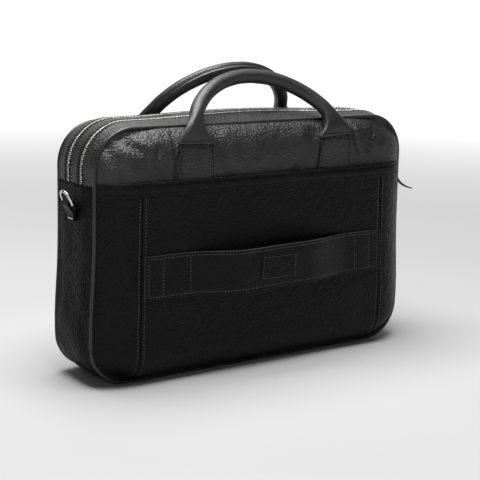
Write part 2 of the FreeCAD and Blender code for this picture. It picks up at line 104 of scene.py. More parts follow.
# ---------------------------------------------------------------- the bag's outside
def ring_sizes(y):
    t = min(max((abs(y) - ZONE_Y) / (RIM_Y - ZONE_Y), 0.0), 1.0)
    return [mix(a, b, t) for a, b in ((207, 205), (0, 1.5), (276, 271), (4, 0), (50, 45), (42, 40))]


def ring_point(y, along, depth=0.0):
    """Point on the gusset, so far along from the left base corner, up, over the top and round."""
    half, low, high, crown, r_high, r_low = ring_sizes(y)
    along %= ROUND
    leg = 0
    while along > RUNS[leg]:
        along -= RUNS[leg]
        leg += 1
    t = along / RUNS[leg]
    if leg in (0, 4):
        side = -1 if leg == 0 else 1
        z = mix(low + r_low, high - r_high, t if leg == 0 else 1 - t)
        return Vector((side * (half - depth), y, z))
    if leg == 2:
        reach = half - r_high
        x = mix(-reach, reach, t)
        return Vector((x, y, high - depth + crown * 0.5 * (1 + math.cos(math.pi * x / reach))))
    if leg == 6:
        return Vector((mix(half - r_low, r_low - half, t), y, low + depth))
    x_side, z_mid, radius, turn = {
        1: (-1, high - r_high, r_high, math.pi - CORNER * t), 3: (1, high - r_high, r_high, CORNER * (1 - t)),
        5: (1, low + r_low, r_low, -CORNER * t), 7: (-1, low + r_low, r_low, -CORNER * (1 + t))}[leg]
    return Vector((x_side * (half - radius) + (radius - depth) * math.cos(turn), y,
                   z_mid + (radius - depth) * math.sin(turn)))


def slump(p):
    """The bag bulges at its lower sides."""
    x, y, z = p
    out = BULGE * hump((z - BULGE_Z) / BULGE_REACH)
    give = out * (x / RIM_X) * (1 - 0.35 * (y / 60) ** 2)
    return Vector((x + give, y, z))


def band_ripple(y, along):
    """Gentle waves in the gusset leather, held flat at its seams."""
    a = along * math.tau / ROUND
    where = Vector((6 * math.cos(a), 6 * math.sin(a), y / 30))
    return 0.9 * noise.noise(where) + 0.35 * noise.noise(where * 3.1)


def side_width(z):
    """Half width of the rim at a height."""
    if z > 226:
        return 160 + math.sqrt(max(0.0, 45 ** 2 - (z - 226) ** 2))
    if z < 41.5:
        return 165 + math.sqrt(max(0.0, 40 ** 2 - (41.5 - z) ** 2))
    return 205.0


def dome(x, z, fold_side=46.0, fold_top=30.0, fold_base=36.0):
    """How far a panel has come up from its sewn edge, from 0 at the rim to 1 on the flat."""
    a = min(1.0, (side_width(z) - abs(x)) / fold_side)
    b = min(1.0, (271 - z) / fold_top)
    c = min(1.0, (z - 1.5) / fold_base)
    away = math.sqrt((1 - a) ** 2 + (1 - b) ** 2 + (1 - c) ** 2)
    return max(0.0, 1 - min(1.0, away) ** 2.3)


def rim_distance(x, z):
    return max(0.0, min(side_width(z) - abs(x), 271 - z, z - 1.5))


CREASES = (  # x, z of one end, x, z of the other, half width, depth
    (-143, 263, -139, 247, 2.2, 1.7), (-139, 247, -143, 239, 2.6, 1.1),
    (-166, 252, -154, 246, 3.4, 1.4), (-172, 258, -163, 250, 3.0, 0.8),
    (-118.5, 256, -118.0, 219, 2.0, 1.9), (-190, 246, -180, 226, 5.0, 1.3),
    (-62, 252, -50, 222, 6.0, 0.9), (60, 246, 44, 220, 6.5, 0.9),
    (120, 262, 126, 240, 3.0, 1.3), (152, 254, 143, 240, 3.5, 1.1), (168, 256, 162, 246, 3.5, 0.8))


def crease(x, z):
    total = 0.0
    for x0, z0, x1, z1, width, depth in CREASES:
        dx, dz = x1 - x0, z1 - z0
        t = min(max(((x - x0) * dx + (z - z0) * dz) / (dx * dx + dz * dz), -0.3), 1.3)
        off = math.hypot(x - x0 - dx * t, z - z0 - dz * t)
        total -= depth * hump(off / width) - 0.5 * depth * hump((off - 2.2 * width) / width)
    return total


def crumple(x, z, side):
    """Soft hollows and folds of a used leather panel, held flat along its sewn edges."""
    hold = ease(rim_distance(x, z) / 14)
    seed = 11.0 if side < 0 else 37.0
    big = 1.5 * noise.noise(Vector((x / 95, z / 62, seed)))
    mid = 0.75 * noise.noise(Vector((x / 34, z / 27, seed + 5)))
    small = 0.22 * noise.noise(Vector((x / 12, z / 10, seed + 9)))
    return hold * (big + mid + small)


def seam_dips(x):
    """The butted seams down the slip pocket, each with a row of stitches on both sides."""
    off = abs(x) - POCKET_SEAM_X
    return -1.3 * hump(off / 1.3) - 0.4 * hump((abs(off) - 3.6) / 1.0)


def pocket_depth(x, z):
    rise = dome(x, z)
    edge = 37.5 + 3.0 * (1 - math.exp(-rim_distance(x, z) / 2.0))
    sag = 1.6 * hump((z - 70) / 55) * rise
    return edge + 20.0 * rise + sag + 0.7 * crumple(x, z, -1) + seam_dips(x) * ease((z - 6) / 20)


def yoke_depth(x, z):
    rise = dome(x, z, fold_side=52.0, fold_top=34.0)
    edge = 36.5 + 4.0 * (1 - math.exp(-rim_distance(x, z) / 2.0))
    return edge + 15.5 * rise + 2.0 * crumple(x, z, -1) + 1.5 * crease(x, z) * ease(rim_distance(x, z) / 10)


def front_depth(x, z):
    rise = dome(x, z)
    edge = 37.5 + 3.0 * (1 - math.exp(-rim_distance(x, z) / 2.0))
    return edge + 9.6 * rise + 1.2 * hump((z - 80) / 60) * rise + 0.9 * crumple(x, z, 1)


def front_yoke_depth(x, z):
    rise = dome(x, z, fold_side=52.0, fold_top=34.0)
    edge = 36.5 + 4.0 * (1 - math.exp(-rim_distance(x, z) / 2.0))
    return edge + 7.6 * rise + 1.2 * crumple(x, z, 1)


# ---------------------------------------------------------------- mesh helpers
def skin(name, us, vs, place, weld=False, warp=slump, out=Vector((0, 0, 130))):
    """Sheet of leather or cloth: a grid whose every point is put where place says."""
    bm = bmesh.new()
    cols, rows = len(us) - 1, len(vs) - 1
    bmesh.ops.create_grid(bm, x_segments=cols, y_segments=rows, size=1.0)
    lay = bm.loops.layers.uv.new("Lay")
    spots = {}
    for v in bm.verts:
        i, j = round((v.co.x + 1) / 2 * cols), round((v.co.y + 1) / 2 * rows)
        spots[v] = (us[i] * MM, vs[j] * MM)
        p = Vector(place(us[i], vs[j]))
        v.co = (warp(p) if warp else p) * MM
    for face in bm.faces:
        for loop in face.loops:
            loop[lay].uv = spots[loop.vert]
    if weld:
        bmesh.ops.remove_doubles(bm, verts=bm.verts, dist=0.00002)
        holes = [e for e in bm.edges if e.is_boundary]
        if holes:
            bmesh.ops.holes_fill(bm, edges=holes, sides=0)
        bmesh.ops.recalc_face_normals(bm, faces=bm.faces)
    else:
        bm.normal_update()
        facing = sum(f.normal.dot(f.calc_center_median() - out * MM) for f in bm.faces)
        if facing < 0:
            bmesh.ops.reverse_faces(bm, faces=bm.faces)
    return finish_mesh(bm, name)


def finish_mesh(bm, name):
    mesh = bpy.data.meshes.new(name)
    bm.to_mesh(mesh)
    bm.free()
    mesh.polygons.foreach_set("use_smooth", [True] * len(mesh.polygons))
    obj = bpy.data.objects.new(name, mesh)
    bpy.context.scene.collection.objects.link(obj)
    return obj


def ply(obj, thickness, offset=-1.0):
    """Gives a sheet its thickness, inwards from the face that shows."""
    solid = obj.modifiers.new("Ply", "SOLIDIFY")
    solid.thickness = thickness * MM
    solid.offset = offset
    return obj


def cut_edge_highlight(obj, material):
    """Painted highlight on the cut edge of a sheet: paler leather on its rim faces."""
    obj.data.materials.append(material)
    obj.modifiers["Ply"].material_offset_rim = 1
    return obj


def round_off(obj, levels=1):
    smooth = obj.modifiers.new("Soft edge", "SUBSURF")
    smooth.levels = levels
    smooth.render_levels = levels
    return obj


def dress(obj, material, slot, body, *nodes):
    """Material, body and the frame pieces that this piece stands for; the slot argument is not used."""
    obj.data.materials.clear()
    obj.data.materials.append(material)
    if nodes:
        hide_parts(*nodes)
    if isinstance(body, tuple):
        fold_to(obj, *body)
    else:
        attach(obj, body)
    return obj


def fold_to(obj, low_body, high_body, low_z=FOLD_LOW, high_z=FOLD_HIGH):
    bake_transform(obj)


def resample(points, pitch):
    """Places and directions a pitch apart along a line of points."""
    points = [Vector(p) for p in points]
    total = sum((b - a).length for a, b in zip(points, points[1:]))
    count = max(1, round(total / pitch))
    gap, found, due, gone = total / count, [], 0.5 * total / count, 0.0
    for a, b in zip(points, points[1:]):
        length = (b - a).length
        while length > 0 and due <= gone + length:
            found.append((a.lerp(b, (due - gone) / length), (b - a).normalized()))
            due += gap
        gone += length
    return found


def sew(name, rows, body, pitch=3.5, length=2.5, width=1.0, slot="black_leather", thread=None):
    """Rows of thread, each stitch a short plump bead lying along its row."""
    bm = bmesh.new()
    for row in rows:
        for spot, way in resample([slump(Vector(p)) for p in row], pitch):
            turn = way.to_track_quat("X", "Z").to_matrix().to_4x4()
            size = Matrix.Diagonal((length / 2 * MM, width / 2 * MM, width / 2 * MM, 1))
            bmesh.ops.create_icosphere(bm, subdivisions=1, radius=1.0,
                                       matrix=Matrix.Translation(spot * MM) @ turn @ size)
    return dress(finish_mesh(bm, name), thread or THREAD, slot, body)


def ring_row(y, start, end, depth=-0.1, size=4.0):
    return [ring_point(y, a, depth) for a in steps(start, end, size)]


def face_row(depth_of, points, side, lift=0.25, size=3.0):
    """Line over a face panel through (x, z) points, lying on its leather."""
    row = []
    for (x0, z0), (x1, z1) in zip(points, points[1:]):
        for t in steps(0, 1, size / max(size, math.hypot(x1 - x0, z1 - z0))):
            x, z = mix(x0, x1, t), mix(z0, z1, t)
            row.append(Vector((x, side * (depth_of(x, z) + lift), z)))
    return row


# ---------------------------------------------------------------- finishes
def node(tree, kind, settings=(), **inputs):
    made = tree.nodes.new(kind)
    for key, value in dict(settings).items():
        setattr(made, key, value)
    for key, value in inputs.items():
        socket = made.inputs[int(key[1:])] if key[1:].isdigit() else made.inputs[key.replace("_", " ")]
        if isinstance(value, bpy.types.NodeSocket):
            tree.links.new(value, socket)
        else:
            socket.default_value = value
    return made


def sum_of(tree, a, b, kind="ADD"):
    return node(tree, "ShaderNodeMath", {"operation": kind}, _0=a, _1=b).outputs[0]


def ranged(tree, value, low, high, to_low, to_high):
    return node(tree, "ShaderNodeMapRange", {"clamp": True}, Value=value, From_Min=low, From_Max=high,
                To_Min=to_low, To_Max=to_high).outputs[0]


def blank(name, roughness=0.5, **constants):
    made = bpy.data.materials.new(name)
    made.use_nodes = True
    shader = made.node_tree.nodes["Principled BSDF"]
    shader.inputs["Roughness"].default_value = roughness
    for key, value in constants.items():
        shader.inputs[key.replace("_", " ")].default_value = value
    return made, made.node_tree, shader


def colour_mix(tree, factor, first, second):
    made = node(tree, "ShaderNodeMix", {"data_type": "RGBA"})
    for index, value in ((0, factor), (6, first), (7, second)):
        if isinstance(value, bpy.types.NodeSocket):
            tree.links.new(value, made.inputs[index])
        else:
            made.inputs[index].default_value = value
    return made.outputs[2]


def leather(name, dark, light, grain, relief, rough=(0.36, 0.5), gloss=0.5, coat=0.0, wrinkle=0.6):
    """Pebbled hide: uneven cells drawn out into short wrinkles, fine pores, and duller valleys between,
    darkened as painted shade.
    """
    made, tree, shader = blank(name, Specular_IOR_Level=gloss, Coat_Weight=coat, Coat_Roughness=0.35)
    place = node(tree, "ShaderNodeTexCoord").outputs["Object"]
    drift = node(tree, "ShaderNodeTexNoise", Vector=place, Scale=grain * 0.4, Detail=3.0).outputs["Color"]
    bent = node(tree, "ShaderNodeMix", {"data_type": "VECTOR"})
    bent.inputs[0].default_value = 1.1 / grain
    tree.links.new(place, bent.inputs[4])
    tree.links.new(drift, bent.inputs[5])
    cells = node(tree, "ShaderNodeTexVoronoi", {"feature": "SMOOTH_F1"}, Vector=bent.outputs[1], Scale=grain,
                 Smoothness=0.35).outputs["Distance"]
    pebble = ranged(tree, cells, 0.1, 0.75, 1.0, 0.0)
    pores = node(tree, "ShaderNodeTexNoise", Vector=place, Scale=grain * 2.6, Detail=3.0).outputs["Fac"]
    swell = node(tree, "ShaderNodeTexNoise", Vector=place, Scale=grain * 0.22, Detail=3.0,
                 Distortion=0.6).outputs["Fac"]
    height = sum_of(tree, sum_of(tree, pebble, sum_of(tree, pores, 0.5, "MULTIPLY")),
                    sum_of(tree, swell, wrinkle * 4.0, "MULTIPLY"))
    bump = node(tree, "ShaderNodeBump", Strength=0.8, Distance=relief * MM, Height=height).outputs[0]
    tree.links.new(bump, shader.inputs["Normal"])
    patches = node(tree, "ShaderNodeTexNoise", Vector=place, Scale=14.0, Detail=4.0).outputs["Fac"]
    tone = colour_mix(tree, ranged(tree, patches, 0.3, 0.7, 0.0, 1.0), (*dark, 1), (*light, 1))
    # Painted shade: the base colour darkens in the valleys between pebbles.
    valley_shade = ranged(tree, pebble, 0.35, 0.0, 0.0, 0.6)
    tone = colour_mix(tree, valley_shade, tone, (dark[0] * 0.35, dark[1] * 0.35, dark[2] * 0.35, 1))
    tree.links.new(tone, shader.inputs["Base Color"])
    shine = sum_of(tree, ranged(tree, patches, 0.25, 0.75, rough[0], rough[1]),
                   ranged(tree, pebble, 0.5, 0.0, 0.0, 0.12))
    tree.links.new(shine, shader.inputs["Roughness"])
    return made


def metal(name, colour, rough, scale):
    """Nickel plate: fine scuffs and a faint haze of handling."""
    made, tree, shader = blank(name, Metallic=1.0)
    place = node(tree, "ShaderNodeTexCoord").outputs["Object"]
    haze = node(tree, "ShaderNodeTexNoise", Vector=place, Scale=scale, Detail=5.0).outputs["Fac"]
    scuff = node(tree, "ShaderNodeTexNoise", Vector=place, Scale=scale * 9, Detail=2.0,
                 Distortion=1.5).outputs["Fac"]
    dull = tuple(c * 0.72 for c in colour)
    tone = colour_mix(tree, ranged(tree, haze, 0.35, 0.75, 0.0, 1.0), (*colour, 1), (*dull, 1))
    tree.links.new(tone, shader.inputs["Base Color"])
    tree.links.new(sum_of(tree, ranged(tree, haze, 0.3, 0.7, rough, rough + 0.14),
                          ranged(tree, scuff, 0.55, 0.7, 0.0, 0.12)), shader.inputs["Roughness"])
    bump = node(tree, "ShaderNodeBump", Strength=0.15, Distance=0.05 * MM, Height=scuff).outputs[0]
    tree.links.new(bump, shader.inputs["Normal"])
    return made


def cloth(name, dark, light, pitch, relief, own_lay=True):
    """Plain weave: over-and-under threads and a little fuzz; the colour darkens wherever the weave dips, as
    painted shade between threads, and varies with the fuzz.
    """
    made, tree, shader = blank(name, roughness=0.85, Sheen_Weight=0.15, Sheen_Roughness=0.4,
                               Specular_IOR_Level=0.25)
    coords = node(tree, "ShaderNodeTexCoord")
    place = coords.outputs["UV"] if own_lay else coords.outputs["Object"]
    rate = 1 / (pitch * MM) * math.pi
    waves = []
    split = node(tree, "ShaderNodeSeparateXYZ", Vector=place)
    for axis in (("X", "Y") if own_lay else ("X", "Z")):
        turns = sum_of(tree, split.outputs[axis], rate, "MULTIPLY")
        waves.append(node(tree, "ShaderNodeMath", {"operation": "SINE"}, _0=turns).outputs[0])
    weave = sum_of(tree, waves[0], waves[1], "MULTIPLY")
    fuzz = node(tree, "ShaderNodeTexNoise", Vector=coords.outputs["Object"], Scale=900.0,
                Detail=3.0).outputs["Fac"]
    height = sum_of(tree, weave, sum_of(tree, fuzz, 1.2, "MULTIPLY"))
    bump = node(tree, "ShaderNodeBump", Strength=0.6, Distance=relief * MM, Height=height).outputs[0]
    tree.links.new(bump, shader.inputs["Normal"])
    # Painted shade: the colour follows the height, darker in the dips between threads.
    tone = colour_mix(tree, ranged(tree, height, -0.6, 1.6, 0.0, 1.0), (*dark, 1), (*light, 1))
    tree.links.new(tone, shader.inputs["Base Color"])
    return made


def cord(name, dark, light, turns, gloss=0.3):
    """Twisted thread, its colour darker in the grooves of the twist as painted shade."""
    made, tree, shader = blank(name, roughness=0.55, Specular_IOR_Level=gloss)
    place = node(tree, "ShaderNodeTexCoord").outputs["Object"]
    twist = node(tree, "ShaderNodeTexWave", {"bands_direction": "DIAGONAL"}, Vector=place, Scale=turns,
                 Distortion=1.0, Detail=1.0).outputs["Fac"]
    # Painted shade: the twist's grooves get the dark colour, its ridges the light one.
    tree.links.new(colour_mix(tree, twist, (*dark, 1), (*light, 1)), shader.inputs["Base Color"])
    bump = node(tree, "ShaderNodeBump", Strength=0.4, Distance=0.06 * MM, Height=twist).outputs[0]
    tree.links.new(bump, shader.inputs["Normal"])
    return made


HIDE = leather("Pebbled hide", (0.0016, 0.0015, 0.0017), (0.0036, 0.0034, 0.0037), 400.0, 0.75,
               (0.34, 0.46), 0.15)
# Painted light: a copy of the hide with a lighter base colour, standing in for the light on the parts that
# catch most of it: yoke, top of the gusset, handle tabs and front panel.
LIT_HIDE = leather("Pebbled hide, stretched", (0.0038, 0.0036, 0.004), (0.0085, 0.0082, 0.0087), 430.0, 0.62,
                    (0.35, 0.45), 0.58, wrinkle=0.45)
# Painted shade: a copy of the hide with a darker base colour for the strap and the pocket binding, standing
# in for their shade.
SHADED_STRAP_HIDE = leather("Pebbled hide, strap", (0.0013, 0.0012, 0.0014), (0.003, 0.0028, 0.0031), 430.0, 0.5,
                     (0.34, 0.44), 0.17)
# Painted shade: a copy of the hide with a darker base colour for the lower gusset round the sides and base,
# which stand in shade.
SHADED_GUSSET_HIDE = leather("Pebbled hide, gusset", (0.0012, 0.0011, 0.0013), (0.0028, 0.0026, 0.0029), 400.0, 0.7,
                      (0.38, 0.48), 0.08)
ROLLED = leather("Rolled handle hide", (0.009, 0.0088, 0.0092), (0.015, 0.0147, 0.0152), 620.0, 0.16,
                 (0.36, 0.44), 0.6,
                 wrinkle=0.3)
SKIVED = leather("Skived piping hide", (0.005, 0.0048, 0.0052), (0.01, 0.0097, 0.0102), 560.0, 0.16,
                 (0.3, 0.4), 0.55,
                 wrinkle=0.3)
# Painted highlight: a paler leather on all cut edges of the strap and binding, standing in for the light
# their top edges catch.
EDGE = leather("Painted edge highlight", (0.04, 0.039, 0.04), (0.08, 0.078, 0.08), 800.0, 0.12, (0.34, 0.42), 0.6)
NICKEL = metal("Nickel plate", (0.66, 0.65, 0.63), 0.16, 60.0)
ZIP_METAL = metal("Zip metal", (0.72, 0.71, 0.69), 0.2, 90.0)
TAPE = cloth("Zip tape weave", (0.006, 0.006, 0.0065), (0.02, 0.02, 0.021), 1.1, 0.18)
LINING = cloth("Lining weave", (0.03, 0.03, 0.034), (0.06, 0.06, 0.066), 0.9, 0.12, own_lay=False)
PADDING = cloth("Padding cover weave", (0.022, 0.022, 0.026), (0.05, 0.05, 0.056), 1.4, 0.2, own_lay=False)
BOARD = leather("Fibre board", (0.02, 0.02, 0.02), (0.035, 0.034, 0.033), 1200.0, 0.05, rough=(0.7, 0.85))
COTTON = cord("Cotton cord", (0.32, 0.29, 0.23), (0.5, 0.46, 0.38), 260.0)
THREAD = cord("Waxed thread", (0.0008, 0.0008, 0.0008), (0.003, 0.003, 0.0032), 700.0, 0.08)
PALE_THREAD = cord("Waxed thread, worn grey", (0.045, 0.045, 0.046), (0.1, 0.099, 0.101), 700.0)

# ---------------------------------------------------------------- gusset
WRAP = ROUND + ZIP_START


def band_place(y_values, depth=0.0, ripple=1.0):
    low, high = min(y_values), max(y_values)

    def place(along, y):
        hold = ease(min(y - low, high - y) / 6) if ripple else 0.0
        return ring_point(y, along, depth - ripple * hold * band_ripple(y, along))
    return place


def make_gusset():
    ys = crowded(-37.4, 37.4, 4.0, 1.5, 6.0)
    lower = skin("lower_gusset_hide", crowded(ZIP_END, WRAP, 5.0, 1.2, 6.0), ys, band_place(ys, ripple=1.2))
    dress(round_off(ply(lower, 1.8)), SHADED_GUSSET_HIDE, "black_leather", "case", "lower_gusset")
    ys = crowded(-8.4, 8.4, 2.6, 0.9, 3.0)
    middle = skin("centre_gusset_hide", crowded(ZIP_START, ZIP_END, 4.0, 1.2, 6.0), ys,
                  band_place(ys, ripple=0.5))
    dress(round_off(ply(middle, 1.8)), LIT_HIDE, "black_leather", "case", "centre_gusset")
    for name, side in (("back", -1), ("front", 1)):
        ys = [side * y for y in crowded(19.6, 37.4, 2.6, 0.9, 3.0)]
        strip = skin(name + "_gusset_strip_hide", crowded(ZIP_START, ZIP_END, 4.0, 1.2, 6.0), ys,
                     band_place(ys, ripple=0.8))
        dress(round_off(ply(strip, 1.8)), LIT_HIDE, "black_leather", ("case", name + "_flap"),
              name + "_gusset_strip")
        sew(name + "_strip_stitches", [ring_row(side * 21.6, ZIP_START + 2, ZIP_END - 2)],
            ("case", name + "_flap"))
        sew(name + "_centre_stitches", [ring_row(side * 6.4, ZIP_START + 2, ZIP_END - 2)], "case")
    joins = []
    for along in (ZIP_START - 2.6, ZIP_END + 2.6):
        joins.append([ring_point(y, along, -0.1) for y in steps(-35, 35, 3)])
    sew("gusset_join_stitches", joins, "case")


def make_piping():
    def place(side):
        def at(along, turn):
            centre = ring_point(side * RIM_Y, along, 1.0)
            edge = ring_point(side * RIM_Y, along, 0.0)
            out = (edge - centre).normalized()
            plump = 2.05 + 0.12 * noise.noise(Vector((along / 9, side, 0)))
            return centre + plump * (out * math.cos(turn) + Vector((0, side, 0)) * math.sin(turn))
        return at
    for name, side in (("back", -1), ("front", 1)):
        bead = skin(name + "_piping_bead", steps(0, ROUND, 4.0), [math.tau * i / 12 for i in range(13)],
                    place(side),
                    weld=True)
        dress(bead, SKIVED, "piping_leather", ("case", name + "_flap"), name + "_piping_upper",
              name + "_piping_lower")


# ---------------------------------------------------------------- zips
def teeth(name, frames, body, slot_nodes, size):
    """Row of cast zip teeth, one at each place, with softened edges."""
    bm = bmesh.new()
    for spot, along, across, out in frames:
        turn = Matrix((along, across, out)).transposed().to_4x4()
        bmesh.ops.create_cube(bm, size=1.0, matrix=Matrix.Translation(spot * MM) @ turn
                              @ Matrix.Diagonal((size[0] * MM, size[1] * MM, size[2] * MM, 1)))
    bmesh.ops.bevel(bm, geom=bm.edges[:], offset=0.28 * MM, segments=1, affect="EDGES", profile=0.5,
                    material=-1)
    return dress(finish_mesh(bm, name), ZIP_METAL, "zip_metal", body, *slot_nodes)


def ring_teeth(y, start, end, pitch, phase):
    frames, along = [], start + phase
    while along < end:
        spot, ahead, above = (ring_point(y, a, d) for a, d in ((along, 1.1), (along + 1, 1.1), (along, 0.1)))
        way = (slump(ahead) - slump(spot)).normalized()
        out = (above - spot).normalized()
        frames.append((slump(spot), way, out.cross(way), out))
        along += pitch
    return frames


def make_top_zips():
    for name, side in (("back", -1), ("front", 1)):
        flap = ("case", name + "_flap")
        for part, y_in, y_out, body, nodes in (
                ("inner", 5.0, 12.2, "case", (name + "_zip_inner_tape",)),
                ("outer", 15.8, 23.0, flap,
                 (name + "_zip_outer_tape",) + (("zip_outer_tape_ends",) if side < 0 else ()))):
            ys = [side * y for y in steps(y_in, y_out, 1.5)]
            tape = skin(name + "_zip_" + part + "_weave", steps(ZIP_START - 3, ZIP_END + 3, 4.0), ys,
                        lambda along, y: ring_point(y, along, 2.0))
            dress(ply(tape, 0.6), TAPE, "zip_tape", body, *nodes)
        teeth(name + "_zip_inner_row",
              ring_teeth(side * 13.6, ZIP_START + 1, ZIP_END - 1, TOOTH_PITCH, 0.0), "case",
              (name + "_zip_inner_teeth",), TOOTH)
        teeth(name + "_zip_outer_row",
              ring_teeth(side * 14.4, ZIP_START + 1, ZIP_END - 1, TOOTH_PITCH, TOOTH_PITCH / 2), flap,
              (name + "_zip_outer_teeth",) + (("zip_outer_teeth_ends",) if side < 0 else ()), TOOTH)


# ---------------------------------------------------------------- back pocket and yoke
def sheet_heights(low, high, fine_ends=(True, True)):
    """Rows up a panel, closer together round the rim's corners and at its cut edges."""
    rows = []
    if low < 41.5:
        rows += [41.5 - 40 * math.sin(CORNER * (1 - i / 14)) for i in range(14)]
        low = 41.5
    top = min(high, 226.0)
    rows += crowded(low, top, 4.0, 1.4, 6.0, (False, high <= 226 and fine_ends[1]))
    if high > 226:
        rows += [226 + 45 * math.sin(CORNER * i / 16) for i in range(1, 17)]
    return rows


def make_back_panels():
    rows = sheet_heights(1.5, 215.2)
    centre = skin("slip_pocket_hide", crowded(-POCKET_SEAM_X, POCKET_SEAM_X, 4.5, 0.6, 7.0), rows,
                  lambda x, z: (x, -pocket_depth(x, z), z))
    dress(ply(centre, 1.8), HIDE, "black_leather", "case", "back_pocket_centre")
    for name, side in (("left", -1), ("right", 1)):
        def place(t, z, side=side):
            x = side * mix(POCKET_SEAM_X, side_width(z), t)
            return (x, -pocket_depth(x, z), z)
        shares = [s / 45 for s in crowded(0, 45, 2.6, 0.6, 7.0)]
        strip = skin("slip_pocket_side_" + name, shares, rows, place)
        dress(ply(strip, 1.8), HIDE, "black_leather", "case", "back_pocket_side_" + name)
    rows = [[(s * (POCKET_SEAM_X + off), 8), (s * (POCKET_SEAM_X + off), 201)] for s in (-1, 1)
            for off in (-3.6, 3.6)]
    sew("slip_pocket_seam_stitches", [face_row(pocket_depth, r, -1, 0.2) for r in rows], "case",
        thread=PALE_THREAD)

    def band(x, z):
        swell = 0.9 + 0.5 * math.cos(math.pi * (z - 209) / 9) \
            - 0.35 * (hump((z - 204.6) / 0.9) + hump((z - 213.2) / 0.9))
        return (x * side_width(z) / 205, -(pocket_depth(x, 206.0) - seam_dips(x) + swell), z)
    binding = skin("pocket_binding_hide", steps(-203.5, 203.5, 3.5), crowded(202, 216.2, 1.1, 0.5, 2.0), band)
    cut_edge_highlight(dress(round_off(ply(binding, 1.6)), SHADED_STRAP_HIDE, "black_leather", "case",
                   "back_pocket_binding"), EDGE)
    lines = [[Vector(band(x, z)) + Vector((0, -0.25, 0)) for x in steps(-199, 199, 3)]
             for z in (204.6, 213.2)]
    sew("pocket_binding_stitches", lines, "case")

    def yoke_at(t, z):
        x = t * side_width(z)
        return (x, -yoke_depth(x, max(z, 212.0)), z)
    yoke = skin("back_yoke_hide", crowded(-1, 1, 0.016, 0.006, 0.06), sheet_heights(206, 270.6), yoke_at)
    dress(ply(yoke, 1.8), LIT_HIDE, "black_leather", ("case", "back_flap"), "back_yoke")


# ---------------------------------------------------------------- inside
def pad_sheet(name, y, width_of, rows, thickness, puff, node_name):
    """Quilted pad: a soft board that swells between its rows of quilting."""
    def place(t, z):
        x = t * width_of(z)
        swell = math.cos(math.tau * (x + z) / 58) * math.cos(math.tau * (x - z) / 58)
        return (x, y + puff * swell + 0.8 * noise.noise(Vector((x / 60, z / 60, y))), z)
    pad = skin(name, crowded(-1, 1, 0.024, 0.008, 0.06), rows, place, warp=None)
    dress(round_off(ply(pad, thickness, 0.0)), PADDING, "padding", "case", node_name)
    return place


def make_inside():
    pad_sheet("padded_divider", 0.0, lambda z: side_width(z) - 1.5, sheet_heights(7.5, 269), 4.2, 0.5,
              "divider")
    top = pad_sheet("laptop_sleeve", -19.5,
                    lambda z: 162 + 19.8 * math.sqrt(max(0.0, 1 - (max(0.0, z - 212) / 19.8) ** 2)),
                    [7.5] + steps(12, 212, 5) + [212 + 19.6 * math.sin(CORNER * i / 8)
                                                 for i in range(1, 9)], 4.2, 0.5,
                    "laptop_sleeve_pad")
    sew("sleeve_edge_stitches",
        [[Vector(top(x / 182, 227)) + Vector((0, side * 2.2, 0)) for x in steps(-160, 160, 3)]
                                 for side in (-1, 1)], "case", slot="padding")
    walls = (("back", -1, lambda x, z: pocket_depth(x, z) - seam_dips(x) - 8.2, yoke_depth, 3.4),
             ("front", 1, lambda x, z: front_depth(x, z) - 7.6, front_yoke_depth, 3.4))
    for name, side, wall_depth, upper_depth, lift in walls:
        wall = skin(name + "_wall_lining_weave", crowded(-1, 1, 0.03, 0.012, 0.06), sheet_heights(6, 215.5),
                    lambda t, z: (t * (side_width(z) - 3), side * wall_depth(t * side_width(z), z), z),
                    warp=None)
        dress(ply(wall, 0.8), LINING, "lining_cloth", "case", name + "_inner_wall")
        upper = skin(name + "_yoke_lining_weave", crowded(-1, 1, 0.03, 0.012, 0.06),
                     sheet_heights(217.5, 267),
                     lambda t, z: (t * (side_width(z) - 4),
                                   side * (upper_depth(t * side_width(z), z) - lift), z), warp=None)
        dress(ply(upper, 0.8), LINING, "lining_cloth", ("case", name + "_flap"), name + "_yoke_lining")
        ys = [side * y for y in crowded(3.2, 36.0, 4.0, 1.5, 3.0)]
        band = skin(name + "_gusset_lining_weave", steps(ZIP_END + 8, WRAP - 8, 6.0), ys,
                    lambda along, y: ring_point(y, along,
                                                2.9 + 0.4 * noise.noise(Vector((along / 23, y / 9, 0)))),
                                                warp=None)
        dress(ply(band, 0.6), LINING, "lining_cloth", "case", name + "_lining")


# ---------------------------------------------------------------- handle tabs
def tab_place(depth_of, side, x_mid, lift):
    def place(x, z):
        narrow = 1 - 0.06 * ease((z - 216) / 38)
        px = x_mid + (x - x_mid) * narrow
        drop = 0.5 * hump((abs(x - x_mid) - TAB_ROW) / 0.8)
        return (px, side * (depth_of(px, z) + lift - drop), z)
    return place


def make_tabs():
    for name, side, depth_of in (("back", -1, yoke_depth), ("front", 1, front_yoke_depth)):
        rows = []
        for hand, x_mid in (("left", -TAB_X), ("right", TAB_X)):
            place = tab_place(depth_of, side, x_mid, 2.0)
            tab = skin(name + "_tab_" + hand + "_hide", crowded(x_mid - 23, x_mid + 23, 2.0, 0.6, 4.0),
                       crowded(211, 255.5, 2.5, 0.8, 4.0), place)
            dress(round_off(ply(tab, 1.7)), LIT_HIDE, "handle_leather", ("case", name + "_flap"),
                  name + "_handle_tab_" + hand)
            for off in (-TAB_ROW, TAB_ROW):
                rows.append([Vector(place(x_mid + off, z)) + Vector((0, side * 0.3, 0))
                             for z in steps(216, 253, 3)])
        sew(name + "_tab_stitches", rows, ("case", name + "_flap"), pitch=3.3, width=1.3)


# ---------------------------------------------------------------- handles
HINGE_X, HINGE_Z = TAB_X, 254.0
FLARE_RISE, FLARE_IN, FLARE_DRAW = 29.5, 14.0, 8.0
ARCH_LEAN = math.radians(39.4)


